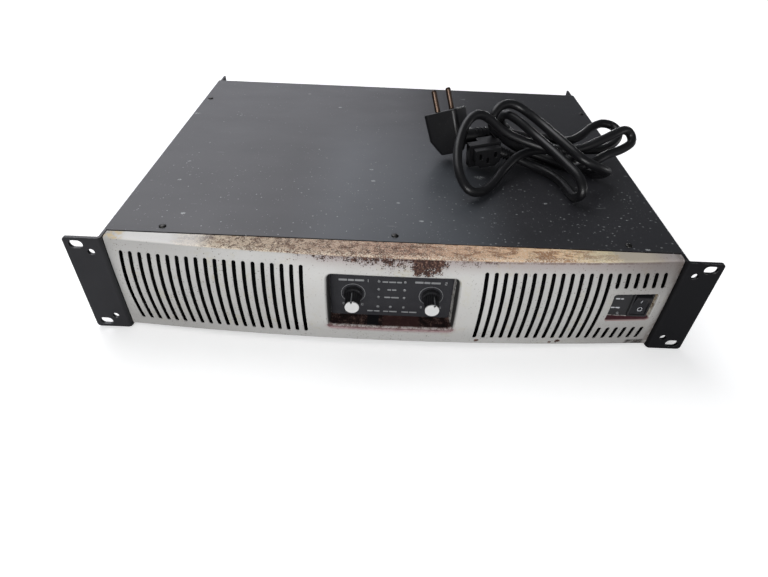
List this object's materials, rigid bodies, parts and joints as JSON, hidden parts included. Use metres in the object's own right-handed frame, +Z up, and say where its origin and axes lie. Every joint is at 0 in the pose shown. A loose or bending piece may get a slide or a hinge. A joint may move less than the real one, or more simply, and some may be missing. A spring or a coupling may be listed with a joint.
{
  "type": "power amplifier",
  "caption": "Rack-mount power amplifier: bowed slotted front, recessed level knobs, power rocker, rack ears, rear fans and sockets, its mains lead lying on the lid.",
  "frame": {"origin": "middle of the chassis underside: halfway between the sides and halfway along the chassis' nominal depth", "axes": "+X to the right as seen from the front, +Y from the front panel to the rear, +Z up"},
  "size_m": [0.4826, 0.3755, 0.1486],
  "materials": {
    "lid_paint": "fine textured charcoal paint, dusty and scratched",
    "ear_paint": "satin near-black paint, worn at the edges",
    "silver_paint": "fine metallic silver paint, speckled, with rust along the top edge",
    "bare_steel": "plain zinc-plated sheet",
    "dark_screw": "blackened screw",
    "gloss_black": "glossy black with grey printing",
    "matt_black": "moulded black plastic",
    "foam": "open dark filter foam",
    "cap_silver": "silvery cap disc",
    "clear_plastic": "clear light guide",
    "green_board": "glass-fibre circuit board",
    "aluminium": "extruded aluminium",
    "winding": "copper winding on a steel core",
    "red_button": "red push button",
    "lead_rubber": "black satin cable jacket",
    "pin_brass": "dull brass pins"
  },
  "bodies": {
    "chassis": {"amp_board_left": "green_board", "amp_board_right": "green_board", "base_tray": "bare_steel", "breaker_body": "matt_black", "capacitor_left": "matt_black", "capacitor_right": "matt_black", "control_board": "green_board", "control_plate": "gloss_black", "fan_frame_left": "matt_black", "fan_frame_right": "matt_black", "fan_guard_left": "bare_steel", "fan_guard_right": "bare_steel", "filter_left": "foam", "filter_right": "foam", "front_panel": "silver_paint", "heatsink_left": "aluminium", "heatsink_right": "aluminium", "input_socket_left": "matt_black", "input_socket_right": "matt_black", "led_light_guide": "clear_plastic", "lid_screw_1": "dark_screw", "lid_screw_2": "dark_screw", "lid_screw_3": "dark_screw", "lid_screw_4": "dark_screw", "lid_screw_5": "dark_screw", "link_socket_left": "matt_black", "link_socket_right": "matt_black", "mains_inlet": "matt_black", "mode_switch_body": "bare_steel", "potentiometer_left": "bare_steel", "potentiometer_right": "bare_steel", "power_board": "green_board", "rear_panel": "ear_paint", "rectifier": "matt_black", "rocker_housing": "matt_black", "side_plate_left": "ear_paint", "side_plate_right": "ear_paint", "speaker_socket_left": "matt_black", "speaker_socket_right": "matt_black", "standby_light": "clear_plastic", "switch_plate": "matt_black", "top_cover": "lid_paint", "transformer": "winding", "transformer_clamp": "bare_steel"},
    "knob_left": {"level_knob_left": "matt_black", "knob_cap_left": "cap_silver", "pot_shaft_left": "bare_steel"},
    "knob_right": {"level_knob_right": "matt_black", "knob_cap_right": "cap_silver", "pot_shaft_right": "bare_steel"},
    "rocker": {"rocker_button": "gloss_black"},
    "fan_left": {"fan_rotor_left": "matt_black"},
    "fan_right": {"fan_rotor_right": "matt_black"},
    "reset_button": {"breaker_button": "red_button"},
    "mode_slider": {"mode_switch_slider": "matt_black"},
    "mains_lead": {"mains_cable": "lead_rubber", "mains_plug": "lead_rubber", "plug_pins": "pin_brass", "mains_connector": "lead_rubber"}
  },
  "joints": [
    {"name": "level_left", "type": "hinge", "parent": "chassis", "child": "knob_left", "pos_m": [-0.0305, -0.1726, 0.043], "axis": [0, 1, 0], "range_deg": [-142, 158]},
    {"name": "level_right", "type": "hinge", "parent": "chassis", "child": "knob_right", "pos_m": [0.0305, -0.1726, 0.043], "axis": [0, 1, 0], "range_deg": [-173, 127]},
    {"name": "power_rocker", "type": "hinge", "parent": "chassis", "child": "rocker", "pos_m": [0.1916, -0.173, 0.0485], "axis": [1, 0, 0], "range_deg": [-16, 0]},
    {"name": "fan_spin_left", "type": "hinge", "parent": "chassis", "child": "fan_left", "pos_m": [-0.061, 0.1507, 0.044], "axis": [0, 1, 0], "continuous": true},
    {"name": "fan_spin_right", "type": "hinge", "parent": "chassis", "child": "fan_right", "pos_m": [0.061, 0.1507, 0.044], "axis": [0, 1, 0], "continuous": true},
    {"name": "breaker_reset", "type": "slide", "parent": "chassis", "child": "reset_button", "axis": [0, -1, 0], "range_m": [0, 0.003]},
    {"name": "mode_slide", "type": "slide", "parent": "chassis", "child": "mode_slider", "axis": [1, 0, 0], "range_m": [-0.004, 0.004]},
    {"name": "lead_lift", "type": "slide", "parent": "chassis", "child": "mains_lead", "axis": [0, 0, 1], "range_m": [0, 0.25]}
  ]
}
